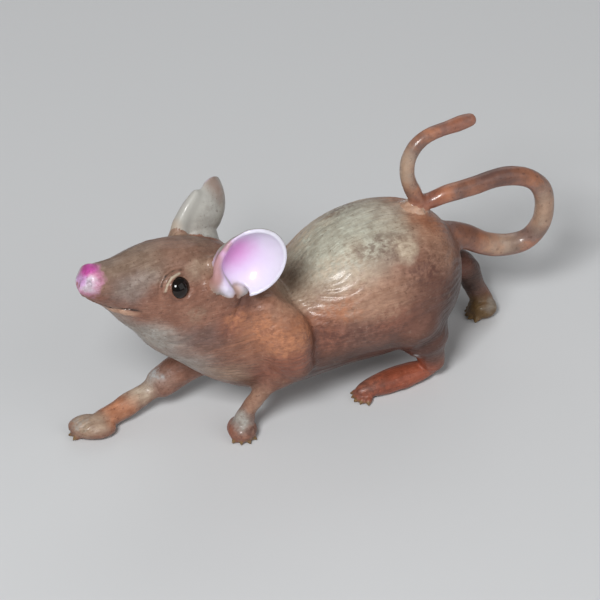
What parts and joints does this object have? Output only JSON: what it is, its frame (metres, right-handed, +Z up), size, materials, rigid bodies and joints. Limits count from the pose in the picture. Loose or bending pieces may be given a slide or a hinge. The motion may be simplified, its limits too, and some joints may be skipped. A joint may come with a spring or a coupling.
{
  "type": "mouse figurine",
  "caption": "Painted bronze mouse figurine in mid stride, with cupped ears, glossy black eyes, a raised pink nose and a looped, curled tail.",
  "frame": {"origin": "middle of the ground under the whole figure", "axes": "+X from the nose towards the tail, +Z up; the mouse faces -X and its left side is -Y"},
  "size_m": [0.136, 0.0408, 0.0709],
  "materials": {
    "painted_fur": "mottled fur colours under clear gloss lacquer",
    "painted_ear": "lilac to white inside, brown outside, clear gloss lacquer",
    "painted_tail": "orange brown with grey mottling under clear gloss lacquer",
    "eye_glass": "solid black, polished",
    "braze": "lacquered bead"
  },
  "bodies": {
    "root": {"torso": "painted_fur", "head": "painted_fur", "left_ear": "painted_ear", "right_ear": "painted_ear", "left_eye": "eye_glass", "right_eye": "eye_glass", "left_foreleg": "painted_fur", "right_foreleg": "painted_fur", "left_hind_leg": "painted_fur", "right_hind_leg": "painted_fur", "tail": "painted_tail", "tail_weld": "braze"}
  },
  "joints": []
}
